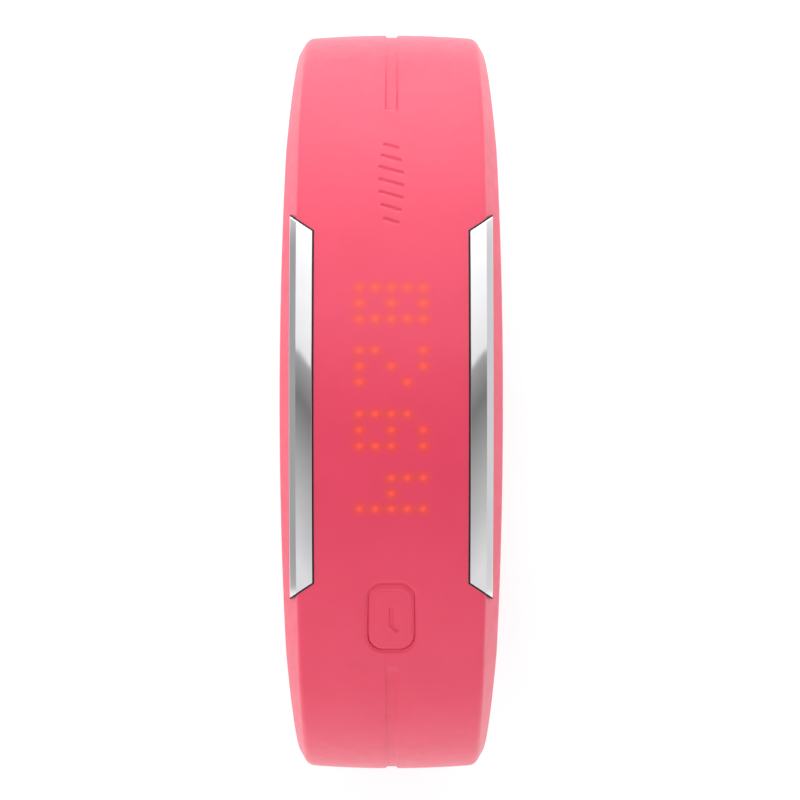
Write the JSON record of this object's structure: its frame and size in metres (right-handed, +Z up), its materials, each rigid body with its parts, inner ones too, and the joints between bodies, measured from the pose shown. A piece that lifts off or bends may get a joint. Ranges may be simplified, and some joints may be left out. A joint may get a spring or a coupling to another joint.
{
  "type": "fitness tracker band",
  "caption": "Closed silicone wristband with a curved dot-matrix display section, touch key, metal side trims and a steel box clasp with side release buttons.",
  "frame": {"origin": "on the ground below the middle of the wrist opening, at the middle of the clasp's flat outer face", "axes": "+X along the wrist, across the band; +Y along the band, from the touch key towards the other end of the display; +Z up, out through the display"},
  "size_m": [0.02, 0.069, 0.0537],
  "materials": {
    "silicone": "matt coral-pink silicone with a fine moulded texture",
    "polished_steel": "mirror-polished steel",
    "trim_gasket": "black rubber",
    "black_rubber": "black rubber",
    "key_film": "thin translucent sealing film",
    "white_polymer": "white glass-filled polymer",
    "black_polymer": "black moulded polymer",
    "light_emitters": "clear resin over red emitters",
    "flex_laminate": "amber polyimide laminate",
    "chip_resin": "black moulding resin",
    "ceramic_chip": "fired ceramic",
    "nickel": "nickel plate",
    "battery_foil": "laminated foil pouch",
    "battery_circuit": "green solder mask",
    "lead_insulation": "insulated wire",
    "gold": "gold plate",
    "brushed_steel": "fine-brushed stainless steel",
    "bright_steel": "turned bright stainless steel"
  },
  "bodies": {
    "capsule": {"band_core": "silicone", "side_trim_left": "polished_steel", "side_trim_right": "polished_steel", "trim_gasket_left": "trim_gasket", "trim_gasket_right": "trim_gasket", "lid_gasket": "black_rubber", "back_plate_seal": "black_rubber", "key_membrane": "key_film", "capsule_lid": "white_polymer", "capsule_tray": "black_polymer", "led_mask": "black_polymer", "contact_block": "black_polymer", "display_leds": "light_emitters", "flex_board": "flex_laminate", "processor": "chip_resin", "radio_chip": "chip_resin", "motion_sensor": "chip_resin", "memory_chip": "chip_resin", "power_chip": "chip_resin", "chip_antenna": "ceramic_chip", "board_passives": "ceramic_chip", "crystal": "nickel", "port_magnets": "nickel", "dome_switch": "nickel", "battery": "battery_foil", "battery_board": "battery_circuit", "battery_leads": "lead_insulation", "charge_contacts": "gold", "back_plate": "brushed_steel", "back_plate_screws": "bright_steel"},
    "key": {"touch_key": "silicone", "key_plunger": "white_polymer"},
    "upper_strap": {"upper_strap": "silicone"},
    "lower_strap": {"lower_strap": "silicone"},
    "clasp_box": {"clasp_shell": "brushed_steel", "clasp_floor": "brushed_steel", "clasp_screws": "bright_steel", "upper_pin": "bright_steel"},
    "left_button": {"release_button_left": "brushed_steel"},
    "right_button": {"release_button_right": "brushed_steel"},
    "clasp_tongue": {"clasp_tongue": "brushed_steel", "latch_prongs": "bright_steel", "tongue_rivets": "bright_steel", "lower_pin": "bright_steel"}
  },
  "joints": [
    {"name": "upper_strap_flex", "type": "hinge", "parent": "capsule", "child": "upper_strap", "pos_m": [0, 0.02379, 0.04631], "axis": [1, 0, 0], "range_deg": [0, 20], "stiffness_Nm_per_rad": 0.3, "springref_deg": -2.86, "deforming": ["latch_prongs"]},
    {"name": "lower_strap_flex", "type": "hinge", "parent": "capsule", "child": "lower_strap", "pos_m": [0, -0.02379, 0.04631], "axis": [1, 0, 0], "range_deg": [-20, 0], "stiffness_Nm_per_rad": 0.3, "springref_deg": 2.86},
    {"name": "upper_pin_pivot", "type": "hinge", "parent": "upper_strap", "child": "clasp_box", "pos_m": [0, 0.013, 0.00356], "axis": [1, 0, 0], "range_deg": [-20, 0]},
    {"name": "lower_pin_pivot", "type": "hinge", "parent": "lower_strap", "child": "clasp_tongue", "pos_m": [0, -0.013, 0.00356], "axis": [1, 0, 0], "range_deg": [0, 20]},
    {"name": "key_press", "type": "slide", "parent": "capsule", "child": "key", "axis": [0, 0.4587, -0.8886], "range_m": [0, 0.0002], "stiffness_N_per_m": 4000, "springref_m": -0.0002, "deforming": ["dome_switch", "key_membrane"]},
    {"name": "left_release", "type": "slide", "parent": "clasp_box", "child": "left_button", "axis": [1, 0, 0], "range_m": [0, 0.0008], "stiffness_N_per_m": 1500, "springref_m": -0.0006},
    {"name": "right_release", "type": "slide", "parent": "clasp_box", "child": "right_button", "axis": [-1, 0, 0], "range_m": [0, 0.0008], "stiffness_N_per_m": 1500, "springref_m": -0.0006}
  ],
  "couplings": [
    {"joint": "lower_strap_flex", "follows": "upper_strap_flex", "ratio": -1},
    {"joint": "upper_pin_pivot", "follows": "upper_strap_flex", "ratio": -1},
    {"joint": "lower_pin_pivot", "follows": "upper_strap_flex", "ratio": 1}
  ]
}
